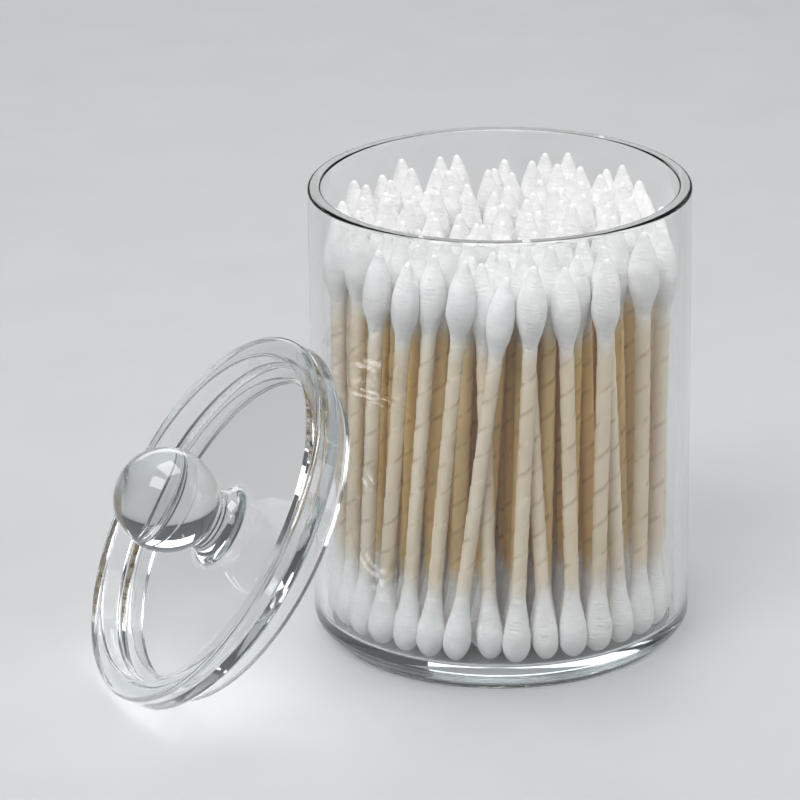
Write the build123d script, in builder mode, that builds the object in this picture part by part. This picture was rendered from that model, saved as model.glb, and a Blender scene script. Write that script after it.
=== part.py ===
from build123d import *
import math
import os

import numpy as np

# All sizes are in millimetres and angles in degrees.
# The origin is the centre of the jar's foot, on the surface that it stands on.

# Jar: one clear moulded cup with a bevelled base corner and a stepped foot
jar_height = 86.0
jar_radius = 34.8
wall_thickness = 2.4
floor_thickness = 3.0
base_bevel = 2.2
foot_ledge = 0.9
foot_height = 1.8
edge_break = 0.4

# Lid: flange, plug and ball knob moulded as one clear piece
lid_overhang = 0.7
flange_thickness = 5.0
lid_rim_width = 4.0
recess_depth = 4.0
web_thickness = 2.2
plug_clearance = 0.3
plug_depth = 4.6
plug_wall = 2.7
ball_radius = 9.5
ball_rise = 7.6
neck_radius = 5.6
neck_flare = 2.4

# The lid is off: it stands on its edge beside the jar and leans on the jar's wall
lid_bearing = 207.2
lid_heading = 200.9
lid_tilt = 32.7
lean_gap = 0.1

# Swabs: a rolled paper stick with a round cotton tip below and a pointed one above
swab_length = 75.0
length_spread = 3.0
length_rise = 3.0
stick_radius = 1.25
tip_radius = 2.4
tip_wrap = 0.15
round_tip_length = 12.6
round_tip_crest = 4.2
round_tip_end = 1.4
pointed_tip_length = 15.0
pointed_tip_crest = 5.2
swab_facets = 5

# How the swabs stand: rows inside the wall, each swab leaning along its row and inwards
row_gap = 0.8
place_gap = 0.35
tip_gap = 0.2
wall_gap = 0.25
seat_gap = 0.1
lean_mean = 3.2
lean_sway = 3.8
lean_spread = 4.6
lean_inward = 4.0
level_step = 2.5

# Radii and levels that follow from the sizes above
floor_level = foot_height + floor_thickness
foot_radius = jar_radius - base_bevel - foot_ledge
bore_radius = jar_radius - wall_thickness
lid_radius = jar_radius + lid_overhang
plug_radius = bore_radius - plug_clearance
plug_end = -flange_thickness - plug_depth
web_top = -recess_depth
web_bottom = web_top - web_thickness


# Jar
with BuildPart() as jar:
    with BuildSketch(Plane.XZ):
        with BuildLine():
            Polyline(
                (0, 0),
                (foot_radius, 0),
                (foot_radius, foot_height),
                (jar_radius, foot_height),
                (jar_radius, jar_height),
                (bore_radius, jar_height),
                (bore_radius, floor_level),
                (0, floor_level),
                close=True,
            )
        make_face()
    revolve(axis=Axis.Z)
    rings = jar.edges().filter_by(GeomType.CIRCLE)
    base_corner = rings.filter_by_position(Axis.Z, foot_height, foot_height).sort_by(SortBy.RADIUS)[-1]
    chamfer(base_corner, length=base_bevel)
    rim_edge = jar.edges().filter_by(GeomType.CIRCLE).group_by(Axis.Z)[-1].sort_by(SortBy.RADIUS)[-1]
    chamfer(rim_edge, length=edge_break)
jar.part.label = "jar"


# Where the lid leans: its axis, then how high and how far out its centre stands
tilt = math.radians(lid_tilt)
heading = math.radians(lid_heading)
bearing = math.radians(lid_bearing)
lid_normal = Vector(math.cos(tilt) * math.cos(heading), math.cos(tilt) * math.sin(heading), math.sin(tilt))
lid_across = Vector(-math.sin(heading), math.cos(heading), 0)
lid_uphill = lid_normal.cross(lid_across)
outward = Vector(math.cos(bearing), math.sin(bearing), 0)
sideways = Vector(-math.sin(bearing), math.cos(bearing), 0)
lid_corners = [
    (lid_radius, 0),
    (lid_radius, edge_break - flange_thickness),
    (lid_radius - edge_break, -flange_thickness),
    (plug_radius, plug_end),
]
lid_height = max(radius * math.cos(tilt) - level * math.sin(tilt) for radius, level in lid_corners)


def lean_distance():
    """Distance of the lid's centre from the jar's axis at which one corner first meets the wall."""
    distances = []
    for radius, level in lid_corners:
        for turn in range(360):
            angle = math.radians(turn)
            point = lid_across * (radius * math.cos(angle)) + lid_uphill * (radius * math.sin(angle))
            point += lid_normal * level
            aside = point.dot(sideways)
            if abs(aside) < jar_radius:
                distances.append(math.sqrt(jar_radius**2 - aside**2) - point.dot(outward))
    return max(distances) + lean_gap


lid_centre = outward * lean_distance() + Vector(0, 0, lid_height)
lid_axis = Axis(lid_centre, lid_normal)

# Lid, with its profile drawn beside its axis: radius along the plane's x, level along its y
ball_drop = math.sqrt(ball_radius**2 - neck_radius**2)
ball_turn = math.degrees(math.asin(ball_drop / ball_radius))
with BuildPart() as lid:
    with BuildSketch(Plane(lid_centre, x_dir=lid_across, z_dir=lid_across.cross(lid_normal))):
        with BuildLine():
            CenterArc((0, ball_rise), ball_radius, -ball_turn, 90 + ball_turn)
            Polyline(
                (neck_radius, ball_rise - ball_drop),
                (neck_radius, web_top + neck_flare),
                (neck_radius + neck_flare, web_top),
                (lid_radius - lid_rim_width, web_top),
                (lid_radius - lid_rim_width, 0),
                (lid_radius, 0),
                (lid_radius, -flange_thickness),
                (plug_radius, -flange_thickness),
                (plug_radius, plug_end),
                (plug_radius - plug_wall, plug_end),
                (plug_radius - plug_wall, web_bottom),
                (0, web_bottom),
                (0, ball_rise + ball_radius),
            )
        make_face()
    revolve(axis=lid_axis)
    flange_edges = lid.edges().filter_by(GeomType.CIRCLE).sort_by(SortBy.RADIUS)[-2:]
    chamfer(flange_edges.sort_by(lid_axis)[0], length=edge_break)
lid.part.label = "lid"


def scatter(index):
    """Evenly scattered values from -1 to 1, one golden-ratio step after another."""
    return 2 * (index * (math.sqrt(5) - 1) / 2 % 1) - 1


# Rows of feet from the wall inwards, as complex numbers x + yj, and where each swab's top leans to
row_radius = bore_radius - tip_radius - wall_gap
rows = []
while row_radius > tip_radius / 2:
    count = int(2 * math.pi * row_radius / (2 * tip_radius + place_gap))
    rows.append(row_radius * np.exp(2j * np.pi * (np.arange(count) + scatter(len(rows)) / 2) / count))
    row_radius -= 2 * tip_radius + row_gap
feet = np.concatenate(rows)
order = np.arange(len(feet))
outness = np.abs(feet) / bore_radius
along_row = outness * (lean_mean + lean_sway * np.cos(3 * np.angle(feet)) - lean_spread * scatter(order))
inward = outness**2 * lean_inward * (1 + scatter(order)) / 2
tops = feet + feet / np.abs(feet) * (1j * along_row - inward)

# Swabs differ in length and are a little longer towards the back
stick_lengths = swab_length - round_tip_length - pointed_tip_length + length_spread / 2 * scatter(2 * order)
stick_lengths += length_rise / 2 * (1 + feet.imag / bore_radius)
stick_ends = round_tip_length + stick_lengths


def swab_radii(along):
    """Radius of every swab at a distance from its foot."""
    wrapped_radius = stick_radius + tip_wrap
    if along < round_tip_length:
        shape = [0, round_tip_crest, round_tip_length], [round_tip_end, tip_radius, wrapped_radius]
        return np.full(len(feet), np.interp(along, *shape))
    shape = [0, pointed_tip_crest, pointed_tip_length], [wrapped_radius, tip_radius, 0]
    return np.interp(along - stick_ends, *shape, left=stick_radius)


def settle(feet, tops, rounds=400):
    """Push leaning swabs apart, level by level, until neighbours and the wall are clear."""
    levels = np.arange(round_tip_crest, swab_length, level_step)
    for _ in range(rounds):
        for along in levels:
            radii = swab_radii(along)
            share = along / swab_length
            points = feet + (tops - feet) * share
            apart = points[:, None] - points[None, :]
            distance = np.abs(apart) + np.eye(len(points)) * swab_length
            push = np.clip(radii[:, None] + radii[None, :] + tip_gap - distance, 0, None) / 2
            move = (apart / distance * push).sum(axis=1)
            reach = np.abs(points)
            limit = bore_radius - radii - wall_gap
            move -= points / np.maximum(reach, tip_radius) * np.clip(reach - limit, 0, None)
            feet = feet + move * (1 - share)
            tops = tops + move * share
    return feet, tops


feet, tops = settle(feet, tops)


# One round tip and one pointed tip, standing on the origin, which every swab repeats
def ring(radius, level):
    corners = [2 * math.pi * corner / swab_facets for corner in range(swab_facets)]
    return [Vector(radius * math.cos(angle), radius * math.sin(angle), level) for angle in corners]


with BuildPart() as round_tip:
    foot_ring = ring(round_tip_end, 0)
    crest_ring = ring(tip_radius, round_tip_crest)
    neck_ring = ring(stick_radius + tip_wrap, round_tip_length)
    ConvexPolyhedron(foot_ring + crest_ring + neck_ring)

with BuildPart() as pointed_tip:
    neck_ring = ring(stick_radius + tip_wrap, 0)
    crest_ring = ring(tip_radius, pointed_tip_crest)
    ConvexPolyhedron(neck_ring + crest_ring + [Vector(0, 0, pointed_tip_length)])


def swab_stick(plane, length):
    with BuildPart() as stick:
        with BuildSketch(plane):
            RegularPolygon(stick_radius, swab_facets)
        extrude(amount=length)
    return stick.part


# Swabs, row by row: the sticks and the tips of each row are its three nodes
swab_parts = []
start = 0
for row, row_feet in enumerate(rows, start=1):
    sticks = []
    round_tips = []
    pointed_tips = []
    for index in range(start, start + len(row_feet)):
        lean = tops[index] - feet[index]
        seat = floor_level + seat_gap + round_tip_end * abs(lean) / swab_length
        foot = Vector(feet[index].real, feet[index].imag, seat)
        plane = Plane(foot, z_dir=Vector(lean.real, lean.imag, swab_length))
        sticks.append(swab_stick(plane.offset(round_tip_length), stick_lengths[index]))
        round_tips.append(round_tip.part.moved(plane.location))
        pointed_plane = plane.offset(stick_ends[index])
        pointed_tips.append(pointed_tip.part.moved(pointed_plane.location))
    start += len(row_feet)
    for name, pieces in (("sticks", sticks), ("round_tips", round_tips), ("pointed_tips", pointed_tips)):
        with BuildPart() as group:
            add(pieces)
        group.part.label = f"{name}_row_{row}"
        swab_parts.append(group.part)


os.makedirs("parts", exist_ok=True)
export_step(jar.part, "parts/jar.step")
export_step(lid.part, "parts/lid.step")
for part in swab_parts:
    export_step(part, f"parts/{part.label}.step")
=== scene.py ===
import math
import random

import bpy
import numpy as np
from mathutils import Matrix, Vector, noise


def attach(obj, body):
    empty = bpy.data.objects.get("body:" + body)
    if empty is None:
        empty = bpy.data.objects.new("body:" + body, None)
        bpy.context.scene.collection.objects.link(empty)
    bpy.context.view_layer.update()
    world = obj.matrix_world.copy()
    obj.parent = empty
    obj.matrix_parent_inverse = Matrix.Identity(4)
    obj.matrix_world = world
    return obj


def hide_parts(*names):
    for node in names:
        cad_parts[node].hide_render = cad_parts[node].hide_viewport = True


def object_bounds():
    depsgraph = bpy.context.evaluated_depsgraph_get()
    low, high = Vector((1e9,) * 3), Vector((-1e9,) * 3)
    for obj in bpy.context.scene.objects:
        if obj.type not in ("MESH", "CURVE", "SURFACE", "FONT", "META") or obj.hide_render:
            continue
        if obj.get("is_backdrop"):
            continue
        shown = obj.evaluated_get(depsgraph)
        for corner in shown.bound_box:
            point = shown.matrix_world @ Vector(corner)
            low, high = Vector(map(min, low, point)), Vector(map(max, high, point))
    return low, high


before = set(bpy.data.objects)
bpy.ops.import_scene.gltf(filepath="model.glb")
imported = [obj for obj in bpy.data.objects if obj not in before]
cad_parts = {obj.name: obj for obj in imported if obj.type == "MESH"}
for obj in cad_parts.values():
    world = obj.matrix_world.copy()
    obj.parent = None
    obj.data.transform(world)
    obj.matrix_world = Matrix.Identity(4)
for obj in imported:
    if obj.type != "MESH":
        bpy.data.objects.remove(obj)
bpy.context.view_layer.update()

MM = 0.001

# Sizes that the part's solids have too, in millimetres
JAR_HEIGHT = 86.0
JAR_RADIUS = 34.8
BORE_RADIUS = 32.4
FLOOR_LEVEL = 4.8
FOOT_RADIUS = 31.7
FOOT_HEIGHT = 1.8
LID_RADIUS = 35.5
RECESS_RADIUS = 31.5
RECESS_LEVEL = -4.0
FLANGE_LEVEL = -5.0
PLUG_RADIUS = 32.1
PLUG_BORE = 29.4
PLUG_END = -9.6
WEB_BOTTOM = -6.2
BALL_RADIUS = 9.5
BALL_RISE = 7.6
NECK_RADIUS = 5.6
FLARE_RADIUS = 3.4
LID_CENTRE = Vector((-53.7650, -27.6314, 32.3587))
LID_NORMAL = Vector((-0.786143, -0.300199, 0.540240))
LID_ACROSS = Vector((0.356738, -0.934204, 0.0))

# Sizes that only the look has, in millimetres where they are lengths
TURNED_COLUMNS = 512  # points round the jar and the lid
STICK_COLUMNS = {1: 14, 2: 12, 3: 8, 4: 8, 5: 8, 6: 8}  # points round a stick, by row
STICK_RADIUS = 1.3
STICK_TUCK = 1.5  # how far a stick runs on inside its tips
STICK_BOW = 0.12
ROW_SHADE_STEP, TONE_SPREAD = 0.4, 0.2  # painted shade: sticks deepen in tone from row to row inward, for the shade between them; the spread is random tone
STRIP_WIDTH = 5.8  # of the wound paper, along the stick
STRIP_SPREAD = (0.93, 1.07)
STRIP_STEP = 0.12  # height of the strip's edge
STRIP_LEVEL = 0.7  # share of that step at which the stick has its own radius
STRIP_CORNER = 0.04  # second point of the step, as a share of a turn
STRIP_WANDER, WANDER_LENGTH = 0.1, 8
STRIP_LIFTS = ((0, 0.0), (0.05, 0.15), (0.5, 0.7), (0.88, 1.0), (0.95, 0.8), (1, 0.0))
TIP_RINGS, TIP_COLUMNS = 32, 28
TIP_FULLNESS = (0.97, 1.04)
RING_CROWDING = 0.11  # how far the rings of a tip draw towards its ends
LUMP_SIZE = 0.07
DENT_SIZE, DENT_SCALE = 0.035, 2.7
FRAY_SIZE, FRAY_SCALE = 0.16, 4.3
NECK_SHARE = 0.25  # part of a tip over which it frays instead of lumping

# Places along a tip, as shares of its length, and radii there
ROUND_KNOTS = (
    (0, 0.15), (0.02, 0.78), (0.06, 1.38), (0.12, 1.92), (0.20, 2.28), (0.30, 2.42), (0.42, 2.36),
    (0.56, 2.08), (0.70, 1.78), (0.86, 1.48), (0.95, 1.35), (1.0, 1.28), (1.05, 1.05),
)
POINTED_KNOTS = (
    (-0.05, 1.05), (0, 1.28), (0.05, 1.38), (0.13, 1.68), (0.22, 2.10), (0.32, 2.40), (0.43, 2.48),
    (0.56, 2.36), (0.68, 2.05), (0.78, 1.62), (0.88, 1.08), (0.95, 0.70), (0.98, 0.48), (0.993, 0.30),
    (1.0, 0.08),
)


# Turned shapes: a profile of radius and level, with the outside on the right hand as it runs

def rounded(corners, step=10.0):
    """Points and outward normals of a profile whose corners (radius, level, round) are rounded."""
    points, normals = [], []
    for i, (r, z, fillet) in enumerate(corners):
        here = Vector((r, z))
        if i in (0, len(corners) - 1):
            other = Vector(corners[1 if i == 0 else i - 1][:2])
            run = (other - here if i == 0 else here - other).normalized()
            points.append(here)
            normals.append(Vector((run.y, -run.x)))
            continue
        run_in = (here - Vector(corners[i - 1][:2])).normalized()
        run_out = (Vector(corners[i + 1][:2]) - here).normalized()
        turn = math.atan2(run_in.x * run_out.y - run_in.y * run_out.x, run_in.dot(run_out))
        side = 1 if turn > 0 else -1
        start = here - run_in * (fillet * math.tan(abs(turn) / 2))
        centre = start + Vector((-run_in.y, run_in.x)) * (side * fillet)
        count = max(2, math.ceil(abs(math.degrees(turn)) / step))
        for k in range(count + 1):
            spoke = Matrix.Rotation(turn * k / count, 2) @ (start - centre)
            points.append(centre + spoke)
            normals.append(spoke.normalized() * side)
    return points, normals


def arc(centre, radius, first, last, outside, step=4.0):
    """Points and normals of a circular arc; outside is 1 for a ball and -1 for a hollow."""
    count = max(2, math.ceil(abs(last - first) / step))
    points, normals = [], []
    for k in range(count + 1):
        angle = math.radians(first + (last - first) * k / count)
        spoke = Vector((math.cos(angle), math.sin(angle)))
        points.append(Vector(centre) + spoke * radius)
        normals.append(spoke * outside)
    return points, normals


def lathe(name, profile, centre, across, axis):
    """A mesh turned from a profile about an axis, with the profile's own normals."""
    points, normals = profile
    beside = axis.cross(across)
    verts, vert_normals, rings, faces = [], [], [], []
    for point, normal in zip(points, normals):
        count = 1 if point.x < 1e-6 else TURNED_COLUMNS
        rings.append((len(verts), count))
        for k in range(count):
            angle = 2 * math.pi * k / TURNED_COLUMNS
            spoke = across * math.cos(angle) + beside * math.sin(angle)
            verts.append((centre + spoke * point.x + axis * point.y) * MM)
            tilted = spoke * normal.x + axis * normal.y if count > 1 else axis * normal.y
            vert_normals.append(tilted.normalized())
    for (a, count_a), (b, count_b) in zip(rings, rings[1:]):
        for k in range(TURNED_COLUMNS):
            following = (k + 1) % TURNED_COLUMNS
            if count_a == 1:
                faces.append((a, b + following, b + k))
            elif count_b == 1:
                faces.append((a + k, a + following, b))
            else:
                faces.append((a + k, a + following, b + following, b + k))
    return new_piece(name, verts, faces, vert_normals)


def new_piece(name, verts, faces, normals=None):
    mesh = bpy.data.meshes.new(name)
    mesh.from_pydata(verts, [], faces)
    mesh.polygons.foreach_set("use_smooth", [True] * len(mesh.polygons))
    if normals:
        mesh.normals_split_custom_set_from_vertices(normals)
    piece = bpy.data.objects.new(name, mesh)
    bpy.context.scene.collection.objects.link(piece)
    return piece


# Jar

jar_profile = rounded([
    (0, 0.35, 0),
    (FOOT_RADIUS - 2.2, 0.35, 0.4),
    (FOOT_RADIUS - 1.8, 0, 0.3),
    (FOOT_RADIUS, 0, 0.6),
    (FOOT_RADIUS, FOOT_HEIGHT, 0.35),
    (JAR_RADIUS, FOOT_HEIGHT, 2.6),
    (JAR_RADIUS, JAR_HEIGHT, 0.7),
    (BORE_RADIUS, JAR_HEIGHT, 0.5),
    (BORE_RADIUS, FLOOR_LEVEL, 1.2),
    (0, FLOOR_LEVEL, 0),
])
jar = lathe("jar_clear", jar_profile, Vector((0, 0, 0)), Vector((1, 0, 0)), Vector((0, 0, 1)))


# Lid, with the ball blended into its flared neck

def lid_profile():
    lower = rounded([
        (0, WEB_BOTTOM, 0),
        (PLUG_BORE, WEB_BOTTOM, 0.6),
        (PLUG_BORE, PLUG_END, 0.5),
        (PLUG_RADIUS, PLUG_END, 0.5),
        (PLUG_RADIUS, FLANGE_LEVEL, 0.4),
        (LID_RADIUS, FLANGE_LEVEL, 0.6),
        (LID_RADIUS, 0, 0.9),
        (RECESS_RADIUS, 0, 0.7),
        (RECESS_RADIUS, RECESS_LEVEL, 0.7),
        (NECK_RADIUS + FLARE_RADIUS + 1.0, RECESS_LEVEL, 0),
    ])
    flare_centre = (NECK_RADIUS + FLARE_RADIUS, RECESS_LEVEL + FLARE_RADIUS)
    flare = arc(flare_centre, FLARE_RADIUS, 270, 180, -1, 6)
    blend = 1.2
    drop = math.sqrt((BALL_RADIUS + blend) ** 2 - (NECK_RADIUS + blend) ** 2)
    meeting = 180 - math.degrees(math.atan2(drop, NECK_RADIUS + blend))
    throat = arc((NECK_RADIUS + blend, BALL_RISE - drop), blend, 180, meeting, -1, 6)
    ball = arc((0, BALL_RISE), BALL_RADIUS, meeting - 180, 90, 1, 3)
    ball[0][-1] = Vector((0, BALL_RISE + BALL_RADIUS))
    parts = (lower, flare, throat, (ball[0][1:], ball[1][1:]))
    return sum((p for p, _ in parts), []), sum((n for _, n in parts), [])


lid = lathe("lid_clear", lid_profile(), LID_CENTRE, LID_ACROSS, LID_NORMAL)


# Swabs: the line of each is read from the frame's own sticks and tips

def solids(node):
    """Corner points of each separate solid of a node, in millimetres."""
    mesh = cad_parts[node].data
    corners, merged = np.unique(np.array([v.co for v in mesh.vertices]), axis=0, return_inverse=True)
    merged = merged.ravel()
    group = list(range(len(corners)))

    def root(i):
        while group[i] != i:
            i = group[i]
        return i

    for polygon in mesh.polygons:
        first = root(merged[polygon.vertices[0]])
        for vertex in polygon.vertices[1:]:
            group[root(merged[vertex])] = first
    found = {}
    for i in range(len(corners)):
        found.setdefault(root(i), []).append(corners[i] / MM)
    return [np.array(points) for points in found.values()]


def swab_lines(row):
    """For each swab of a row: foot, low and high end of its stick, point, and direction."""
    round_tips = solids(f"round_tips_row_{row}")
    pointed_tips = solids(f"pointed_tips_row_{row}")
    lines = []
    for points in solids(f"sticks_row_{row}"):
        middle = points.mean(axis=0)
        along = np.linalg.svd(points - middle)[2][0]
        along = along if along[2] > 0 else -along
        place = (points - middle) @ along
        low = points[place < 0].mean(axis=0)
        high = points[place > 0].mean(axis=0)
        below = min(round_tips, key=lambda tip: np.linalg.norm(tip.mean(axis=0) - low))
        above = min(pointed_tips, key=lambda tip: np.linalg.norm(tip.mean(axis=0) - high))
        foot = low - along * ((low - below) @ along).max()
        point = high + along * ((above - high) @ along).max()
        lines.append((foot, low, high, point, along))
    return sorted(lines, key=lambda line: math.atan2(line[0][1], line[0][0]))


def smooth_curve(knots, count):
    """Radius at places along a tip, closer together at its ends, through a few knots (place, radius)."""
    places, radii = np.array(knots).T
    slopes = np.gradient(radii, places)
    even = np.linspace(0, 1, count)
    t = places[0] + (places[-1] - places[0]) * (even - RING_CROWDING * np.sin(2 * np.pi * even))
    i = np.clip(np.searchsorted(places, t, side="right") - 1, 0, len(places) - 2)
    span = places[i + 1] - places[i]
    s = (t - places[i]) / span
    h00, h10 = 2 * s**3 - 3 * s**2 + 1, s**3 - 2 * s**2 + s
    h01, h11 = -2 * s**3 + 3 * s**2, s**3 - s**2
    return t, h00 * radii[i] + h10 * span * slopes[i] + h01 * radii[i + 1] + h11 * span * slopes[i + 1]


def side_frame(along, turn):
    """Two directions square to a line and to each other, turned about it."""
    helper = np.array((0.0, 1.0, 0.0)) if abs(along[1]) < 0.9 else np.array((1.0, 0.0, 0.0))
    first = np.cross(helper, along)
    first /= np.linalg.norm(first)
    second = np.cross(along, first)
    cos, sin = math.cos(turn), math.sin(turn)
    return first * cos + second * sin, second * cos - first * sin


class Tubes:
    """Many round tubes in one mesh, each with its own winding and fade coordinates."""

    def __init__(self):
        self.verts, self.faces, self.winding, self.fade = [], [], [], []

    def add(self, rings, windings, fades, tone):
        """Rings of points, winding coordinates (one more in each ring) and distances from the cotton."""
        start, n = len(self.verts), len(rings[0])
        for ring in rings:
            self.verts.extend(ring)
        for j in range(len(rings) - 1):
            for k in range(n):
                corners = ((k, j), (k + 1, j), (k + 1, j + 1), (k, j + 1))
                for triangle in (corners[0], corners[1], corners[3]), corners[1:]:
                    self.faces.append([start + level * n + step % n for step, level in triangle])
                    self.winding += [windings[level][step] for step, level in triangle]
                    self.fade += [(fades[level], tone) for step, level in triangle]
        for j in (0, len(rings) - 1):
            cap = [start + j * n + k for k in range(n)]
            self.faces.append(cap[::-1] if j == 0 else cap)
            self.winding += [windings[j][0]] * n
            self.fade += [(fades[j], tone)] * n

    def piece(self, name):
        made = new_piece(name, self.verts, self.faces)
        for layer_name, values in (("winding", self.winding), ("fade", self.fade)):
            layer = made.data.uv_layers.new(name=layer_name)
            layer.data.foreach_set("uv", np.array(values, np.float32).ravel())
        return made


def add_stick(tubes, line, columns, tone, rng):
    """A stick of rolled paper, whose columns of points wind round it with the strip's edge."""
    _, low, high, _, along = line
    first, second = side_frame(along, rng.uniform(0, 2 * math.pi))
    length = np.linalg.norm(high - low)
    bow = rng.uniform(-STICK_BOW, STICK_BOW)
    pitch = STRIP_WIDTH * rng.uniform(*STRIP_SPREAD)
    start, sway = rng.random(), rng.uniform(0, 2 * math.pi)
    behind = [0, STRIP_CORNER] + [k / columns for k in range(1, columns)]
    lifts = np.interp([1 - back for back in behind], *np.array(STRIP_LIFTS).T)
    rings, windings, fades = [], [], []
    count = math.ceil((length + 2 * STICK_TUCK) / (pitch / columns))
    for j in range(count + 1):
        share = j / count
        place = share * (length + 2 * STICK_TUCK) - STICK_TUCK
        turns = start + place / pitch + STRIP_WANDER * math.sin(place / WANDER_LENGTH + sway)
        centre = low + along * place + first * bow * math.sin(math.pi * share)
        ring = []
        for back, lift in zip(behind, lifts):
            angle = 2 * math.pi * (turns + back)
            radius = STICK_RADIUS + STRIP_STEP * (lift - STRIP_LEVEL)
            ring.append((centre + (first * math.cos(angle) + second * math.sin(angle)) * radius) * MM)
        rings.append(ring)
        windings.append([(1 - back, turns) for back in behind + [1]])
        fades.append(min(place, length - place))
    tubes.add(rings, windings, fades, tone)


def add_tip(tubes, neck, end, knots, rng):
    """A wound cotton tip between the neck, where it thins out on the stick, and its free end."""
    upward = end[2] > neck[2]
    start, along = (neck, end - neck) if upward else (end, neck - end)
    length = np.linalg.norm(along)
    along = along / length
    first, second = side_frame(along, rng.uniform(0, 2 * math.pi))
    places, radii = smooth_curve(knots, TIP_RINGS)
    fullness = rng.uniform(*TIP_FULLNESS)
    seed = Vector((rng.uniform(0, 90), rng.uniform(0, 90), rng.uniform(0, 90)))
    offset = rng.uniform(0, 50)
    rings, windings, fades = [], [], []
    for t, radius in zip(places, radii):
        from_neck = t if upward else 1 - t
        loose = min(1.0, max(0.0, from_neck) / NECK_SHARE)
        ring = []
        for k in range(TIP_COLUMNS):
            angle = 2 * math.pi * k / TIP_COLUMNS
            spoke = first * math.cos(angle) + second * math.sin(angle)
            spot = Vector((math.cos(angle) * 1.2, math.sin(angle) * 1.2, t * 4)) + seed
            lump = noise.noise(spot) * LUMP_SIZE + noise.noise(spot * DENT_SCALE) * DENT_SIZE
            ragged = noise.noise(spot * FRAY_SCALE) * FRAY_SIZE * (1 - loose)
            reach = radius * (1 + loose * (fullness * (1 + lump) - 1)) + ragged
            ring.append((start + along * (t * length) + spoke * reach) * MM)
        rings.append(ring)
        windings.append([(k / TIP_COLUMNS, t * length + offset) for k in range(TIP_COLUMNS + 1)])
        fades.append(from_neck * length)
    tubes.add(rings, windings, fades, rng.random())


sticks, cotton_tips = [], []
for row, columns in STICK_COLUMNS.items():
    rng = random.Random(40 + row)
    stick_tubes, round_tubes, pointed_tubes = Tubes(), Tubes(), Tubes()
    for line in swab_lines(row):
        foot, low, high, point, _ = line
        # Painted shade: inner rows get a deeper, more golden tone that stands for shade and light
        # bounced between the sticks; the spread on top is random tone
        tone = min(1, ROW_SHADE_STEP * (row - 1)) * (1 - TONE_SPREAD) + rng.uniform(0, TONE_SPREAD)
        add_stick(stick_tubes, line, columns, tone, rng)
        add_tip(round_tubes, low, foot, ROUND_KNOTS, rng)
        add_tip(pointed_tubes, high, point, POINTED_KNOTS, rng)
    for tubes, kind, node, slot in (
        (stick_tubes, "paper_sticks", "sticks", "paper"),
        (round_tubes, "cotton_round_tips", "round_tips", "cotton"),
        (pointed_tubes, "cotton_pointed_tips", "pointed_tips", "cotton"),
    ):
        piece = tubes.piece(f"{kind}_row_{row}")
        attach(piece, "root")
        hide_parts(f"{node}_row_{row}")
        (sticks if slot == "paper" else cotton_tips).append(piece)

for piece, node in ((jar, "jar"), (lid, "lid")):
    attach(piece, "root")
    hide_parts(node)


# Materials

def new_material(name):
    material = bpy.data.materials.new(name)
    material.use_nodes = True
    tree = material.node_tree
    return material, tree, tree.nodes["Principled BSDF"]


def new_node(tree, kind, **values):
    made = tree.nodes.new(kind)
    for key, value in values.items():
        if key in made.inputs:
            made.inputs[key].default_value = value
        else:
            setattr(made, key, value)
    return made


def ramp(tree, source, stops):
    made = tree.nodes.new("ShaderNodeValToRGB")
    elements = made.color_ramp.elements
    while len(elements) < len(stops):
        elements.new(0.5)
    for element, (place, colour) in zip(elements, stops):
        element.position = place
        element.color = (*colour, 1) if isinstance(colour, tuple) else (colour, colour, colour, 1)
    tree.links.new(source, made.inputs["Fac"])
    return made.outputs["Color"]


def math_node(tree, operation, a, b=None, c=None):
    made = tree.nodes.new("ShaderNodeMath")
    made.operation = operation
    for socket, value in zip(made.inputs, (a, b, c)):
        if value is None:
            continue
        if isinstance(value, (int, float)):
            socket.default_value = value
        else:
            tree.links.new(value, socket)
    return made.outputs["Value"]


def noise_at(tree, place, **values):
    made = new_node(tree, "ShaderNodeTexNoise", **values)
    tree.links.new(place, made.inputs["Vector"])
    return made.outputs["Fac"]


def bumped(tree, shader, height, strength, depth):
    """Bump on a shader from a height, with its depth in metres."""
    bump = new_node(tree, "ShaderNodeBump", Strength=strength, Distance=depth)
    tree.links.new(height, bump.inputs["Height"])
    tree.links.new(bump.outputs["Normal"], shader.inputs["Normal"])


def acrylic():
    material, tree, shader = new_material("clear_acrylic")
    output = tree.nodes["Material Output"]
    shader.inputs["Base Color"].default_value = (0.96, 0.968, 0.968, 1)
    shader.inputs["Transmission Weight"].default_value = 1
    shader.inputs["IOR"].default_value = 1.49
    place = tree.nodes.new("ShaderNodeTexCoord").outputs["Object"]
    scuffs = noise_at(tree, place, Scale=900.0, Detail=5.0, Roughness=0.6, Distortion=1.5)
    tree.links.new(ramp(tree, scuffs, ((0.52, 0.004), (0.75, 0.05))), shader.inputs["Roughness"])
    bumped(tree, shader, noise_at(tree, place, Scale=55.0, Detail=2.0), 0.05, 0.0006)
    clear = new_node(tree, "ShaderNodeBsdfTransparent", Color=(0.85, 0.86, 0.86, 1))
    lamp = tree.nodes.new("ShaderNodeLightPath")
    mix = tree.nodes.new("ShaderNodeMixShader")
    tree.links.new(lamp.outputs["Is Shadow Ray"], mix.inputs["Fac"])
    tree.links.new(shader.outputs["BSDF"], mix.inputs[1])
    tree.links.new(clear.outputs["BSDF"], mix.inputs[2])
    tree.links.new(mix.outputs["Shader"], output.inputs["Surface"])
    depth = new_node(tree, "ShaderNodeVolumeAbsorption", Color=(0.85, 0.867, 0.87, 1), Density=50.0)
    tree.links.new(depth.outputs["Volume"], output.inputs["Volume"])
    return material


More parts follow.
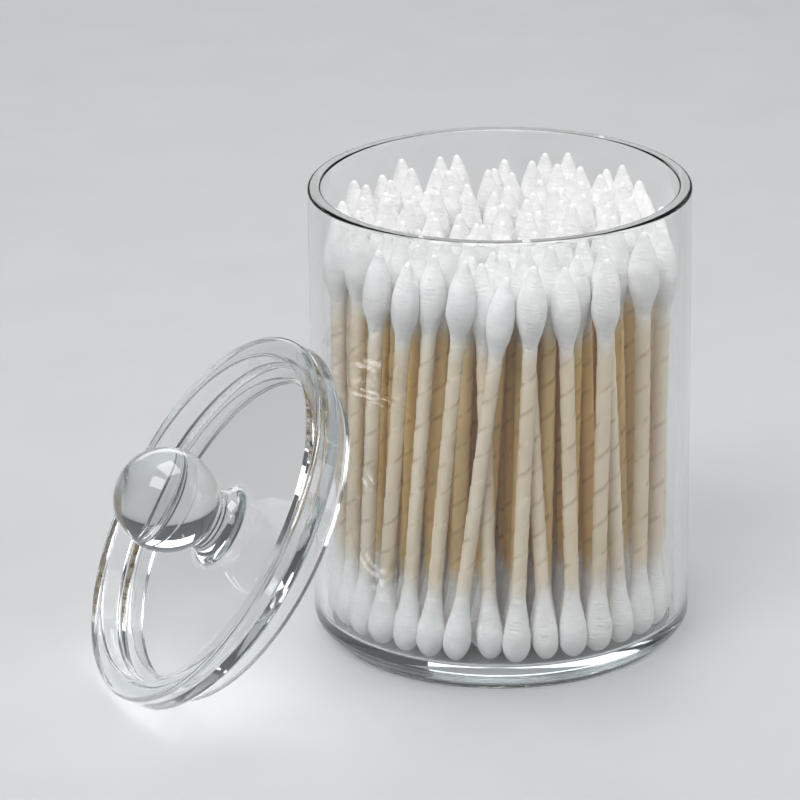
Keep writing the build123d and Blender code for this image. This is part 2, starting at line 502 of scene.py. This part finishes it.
def winding_and_fade(tree):
    """Place round and along a tube's winding, distance from the cotton's edge, and tone, which on the
    sticks holds a painted shade deepening from row to row.
    """
    found = []
    for layer in ("winding", "fade"):
        split = tree.nodes.new("ShaderNodeSeparateXYZ")
        source = new_node(tree, "ShaderNodeUVMap", uv_map=layer)
        tree.links.new(source.outputs["UV"], split.inputs["Vector"])
        found += [split.outputs["X"], split.outputs["Y"]]
    return found


def mix_colours(tree, blend, factor, a, b):
    made = new_node(tree, "ShaderNodeMix", data_type="RGBA", blend_type=blend)
    for socket, value in ((made.inputs["Factor"], factor), (made.inputs["A"], a), (made.inputs["B"], b)):
        if isinstance(value, (int, float)):
            socket.default_value = value
        elif isinstance(value, tuple):
            socket.default_value = (*value, 1)
        else:
            tree.links.new(value, socket)
    return made.outputs["Result"]


def paper():
    material, tree, shader = new_material("rolled_paper")
    shader.inputs["Roughness"].default_value = 0.7
    shader.inputs["Specular IOR Level"].default_value = 0.3
    across, _, from_cotton, tone = winding_and_fade(tree)
    place = tree.nodes.new("ShaderNodeTexCoord").outputs["Object"]
    blotch = noise_at(tree, place, Scale=160.0, Detail=2.0)
    fibre = noise_at(tree, place, Scale=900.0, Detail=4.0, Roughness=0.65)
    patch = noise_at(tree, place, Scale=380.0, Detail=2.0)
    # Ivory paper for the outer row, turning to golden ochre as painted shade for the inner rows
    ivory_and_row_shade = ramp(tree, tone, (
        (0.0, (0.90, 0.80, 0.65)),
        (0.2, (0.88, 0.76, 0.57)),
        (0.35, (0.88, 0.66, 0.30)),
        (0.7, (0.87, 0.57, 0.16)),
    ))
    patchy = ramp(tree, blotch, ((0.3, (0.92, 0.90, 0.87)), (0.7, (1.0, 1.0, 1.0))))
    rolled = mix_colours(tree, "MULTIPLY", 1.0, ivory_and_row_shade, patchy)
    # Painted shade: a brown band darkens the paper at each strip edge, patchy along the stick, for the
    # shadow of the strip's step
    strip_edge_shade = ramp(tree, across, ((0.0, 0.75), (0.08, 0.0), (0.84, 0.0), (0.97, 1.0)))
    depth = math_node(tree, "MULTIPLY", strip_edge_shade, ramp(tree, patch, ((0.38, 0.05), (0.62, 0.75))))
    edge_shaded = mix_colours(tree, "MULTIPLY", depth, rolled, (0.56, 0.48, 0.40))
    edge = math_node(tree, "MULTIPLY_ADD", fibre, 0.5, math_node(tree, "DIVIDE", from_cotton, 7.0))
    wrapped = ramp(tree, edge, ((0.22, 1.0), (0.45, 0.45), (0.85, 0.0)))
    colour = mix_colours(tree, "MIX", wrapped, edge_shaded, (0.92, 0.90, 0.86))
    tree.links.new(colour, shader.inputs["Base Color"])
    bumped(tree, shader, fibre, 0.8, 0.00004)
    return material


def cotton():
    material, tree, shader = new_material("wound_cotton")
    shader.inputs["Roughness"].default_value = 0.95
    shader.inputs["Specular IOR Level"].default_value = 0.1
    shader.inputs["Sheen Weight"].default_value = 0.2
    shader.inputs["Sheen Roughness"].default_value = 0.6
    turn, length, from_neck, _ = winding_and_fade(tree)
    wrap = tree.nodes.new("ShaderNodeCombineXYZ")
    tree.links.new(math_node(tree, "MULTIPLY", turn, 4.0), wrap.inputs["X"])
    climb = math_node(tree, "MULTIPLY_ADD", turn, 1.5, math_node(tree, "MULTIPLY", length, 2.2))
    tree.links.new(climb, wrap.inputs["Y"])
    wound = noise_at(tree, wrap.outputs["Vector"], Scale=1.0, Detail=5.0, Roughness=0.65)
    place = tree.nodes.new("ShaderNodeTexCoord").outputs["Object"]
    fluff = noise_at(tree, place, Scale=1400.0, Detail=5.0, Roughness=0.7)
    tuft = noise_at(tree, place, Scale=420.0, Detail=3.0)
    white = ramp(tree, wound, ((0.3, (0.90, 0.90, 0.905)), (0.62, (0.97, 0.97, 0.965))))
    thin = math_node(tree, "MULTIPLY_ADD", fluff, 0.4, math_node(tree, "DIVIDE", from_neck, 6.0))
    bare = ramp(tree, thin, ((0.16, 1.0), (0.5, 0.0)))
    colour = mix_colours(tree, "MIX", bare, white, (0.92, 0.885, 0.82))
    tree.links.new(colour, shader.inputs["Base Color"])
    height = math_node(tree, "MULTIPLY_ADD", fluff, 0.5, math_node(tree, "ADD", wound, tuft))
    bumped(tree, shader, height, 0.8, 0.00028)
    return material


def table_top():
    material, tree, shader = new_material("table_top")
    shader.inputs["Roughness"].default_value = 0.6
    place = tree.nodes.new("ShaderNodeTexCoord").outputs["Object"]
    grain = noise_at(tree, place, Scale=40.0, Detail=3.0)
    tone = ramp(tree, grain, ((0.3, (0.55, 0.555, 0.565)), (0.7, (0.57, 0.575, 0.585))))
    tree.links.new(tone, shader.inputs["Base Color"])
    return material


for material, pieces in ((acrylic(), (jar, lid)), (paper(), sticks), (cotton(), cotton_tips)):
    for piece in pieces:
        piece.data.materials.append(material)


# Floor, light and camera

floor = new_piece("floor", [(-4, -4, 0), (4, -4, 0), (4, 4, 0), (-4, 4, 0)], [(0, 1, 2, 3)])
floor.data.materials.append(table_top())
floor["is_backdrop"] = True

world = bpy.data.worlds.new("studio")
world.use_nodes = True
world.node_tree.nodes["Background"].inputs["Color"].default_value = (0.13, 0.134, 0.14, 1)
bpy.context.scene.world = world

LAMP_TARGET = Vector((-0.01, 0, 0.04))


def softbox(name, place, size, watts, colour=(1, 1, 1)):
    light = bpy.data.lights.new(name, "AREA")
    light.shape = "RECTANGLE"
    light.size, light.size_y = size
    light.energy = watts
    light.color = colour
    lamp = bpy.data.objects.new(name, light)
    lamp.location = place
    aim = LAMP_TARGET - Vector(place)
    lamp.rotation_euler = aim.to_track_quat("-Z", "Y").to_euler()
    bpy.context.scene.collection.objects.link(lamp)


softbox("key", (-0.30, -0.50, 0.85), (0.5, 0.4), 4.5)
softbox("top", (0.05, 0.05, 0.95), (0.6, 0.5), 5.7)
softbox("side", (0.75, -0.15, 0.35), (0.25, 0.6), 1.0, (1.0, 0.97, 0.93))
softbox("back", (-0.15, 0.80, 0.40), (0.8, 0.25), 1.4)

CAMERA_TARGET = Vector((0, 0, 42))
CAMERA_DISTANCE = 850.0
CAMERA_ELEVATION = 20.626
CAMERA_TURNS = (1.246, 0.132, 0.192)
FOCAL_SHARE = 4618.2 / 800  # of the picture's width
elevation = math.radians(CAMERA_ELEVATION)
back = Vector((0, -math.cos(elevation), math.sin(elevation)))
forward, right = -back, Vector((1, 0, 0))
up = right.cross(forward)
for axis, angle in zip((up, right, forward), CAMERA_TURNS):
    turn = Matrix.Rotation(math.radians(angle), 3, axis.copy())
    forward, right, up = turn @ forward, turn @ right, turn @ up
camera_data = bpy.data.cameras.new("camera")
camera_data.sensor_width = 36.0
camera_data.lens = FOCAL_SHARE * camera_data.sensor_width
camera_data.clip_start, camera_data.clip_end = 0.05, 20
camera = bpy.data.objects.new("camera", camera_data)
rotation = Matrix((right, up, -forward)).transposed().to_4x4()
camera.matrix_world = Matrix.Translation((back * CAMERA_DISTANCE + CAMERA_TARGET) * MM) @ rotation
bpy.context.scene.collection.objects.link(camera)
bpy.context.scene.camera = camera

bpy.context.scene.view_settings.view_transform = "Standard"

# Light turns many times inside the clear walls
paths = bpy.context.scene.cycles
paths.max_bounces, paths.glossy_bounces, paths.transmission_bounces = 32, 24, 32
paths.transparent_max_bounces = 32

low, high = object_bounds()
